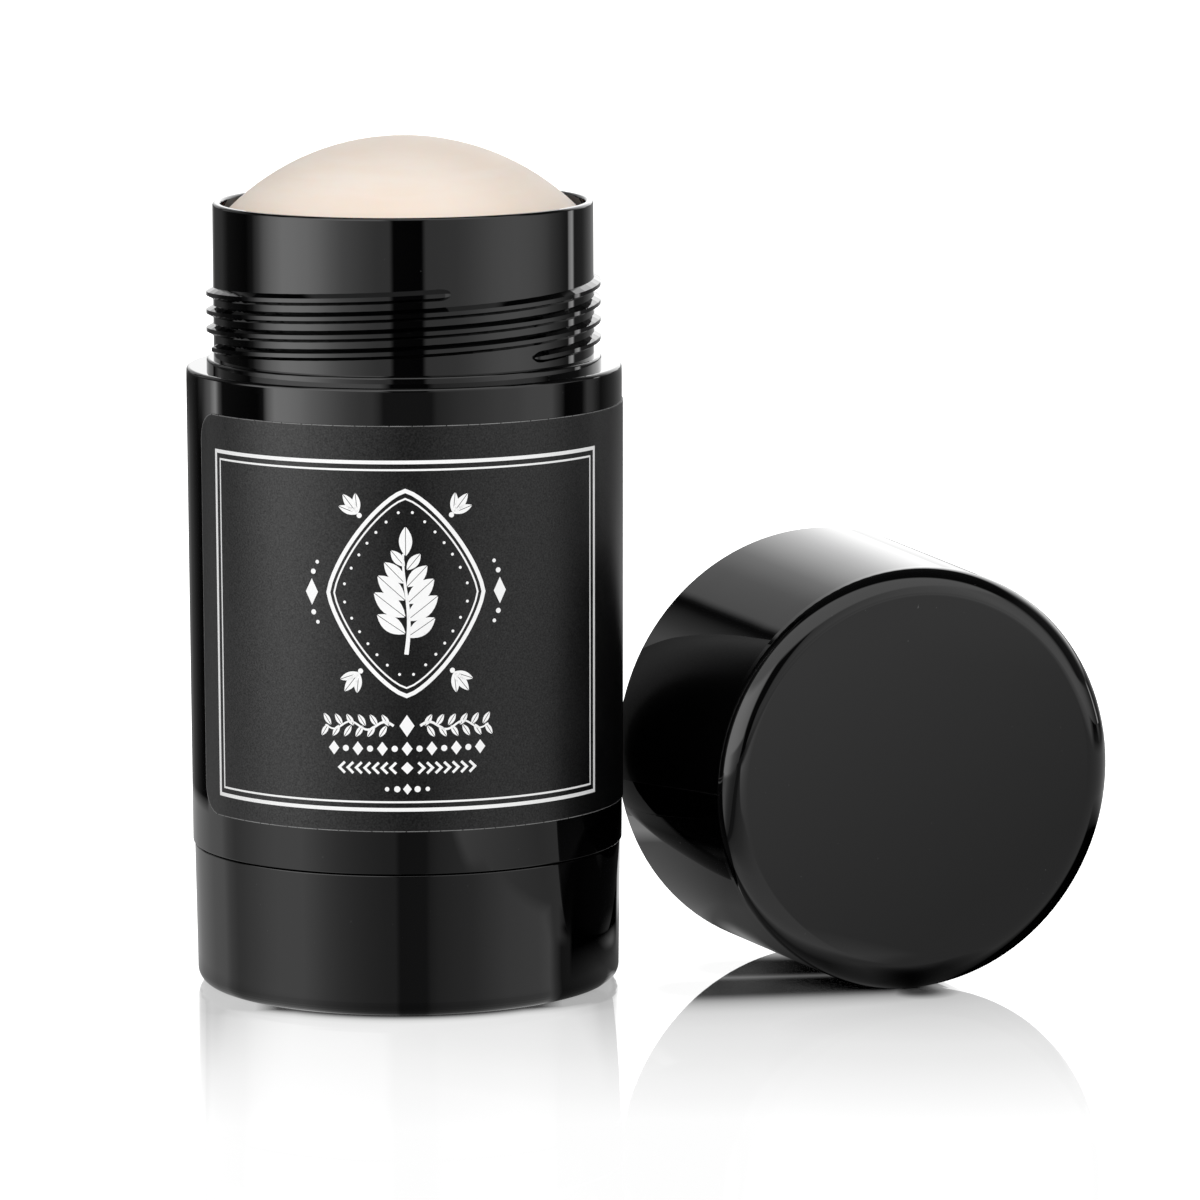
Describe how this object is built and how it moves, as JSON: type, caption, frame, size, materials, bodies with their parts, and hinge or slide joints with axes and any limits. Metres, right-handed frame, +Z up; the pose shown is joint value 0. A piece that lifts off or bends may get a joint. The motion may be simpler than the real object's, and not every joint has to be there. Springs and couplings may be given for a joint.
{
  "type": "twist-up deodorant stick",
  "caption": "Round twist-up deodorant stick with a threaded neck, a domed product and a wrap label, its screw cap off and lying beside it.",
  "frame": {"origin": "centre of the knob's flat foot, on the surface that the stick stands on", "axes": "+Z up along the stick's axis, -Y towards the front of the label, +X towards the cap"},
  "size_m": [0.1057, 0.0502, 0.0977],
  "materials": {
    "black_shell": "polished black moulding",
    "label_film": "satin charcoal film, printed",
    "white_mechanism": "natural white moulding",
    "product": "smooth waxy cream solid"
  },
  "bodies": {
    "container": {"outer_sleeve": "black_shell", "inner_tube": "black_shell", "label": "label_film", "cap": "black_shell"},
    "dial": {"knob": "black_shell", "spindle": "white_mechanism"},
    "carriage": {"elevator": "white_mechanism", "product_stick": "product"}
  },
  "joints": [
    {"name": "knob_turn", "type": "hinge", "parent": "container", "child": "dial", "pos_m": [0, 0, 0], "axis": [0, 0, -1], "range_deg": [0, 3120]},
    {"name": "elevator_lift", "type": "slide", "parent": "container", "child": "carriage", "axis": [0, 0, 1], "range_m": [0, 0.0521]}
  ],
  "couplings": [
    {"joint": "elevator_lift", "follows": "knob_turn", "m_per_rad": 0.00095493}
  ]
}
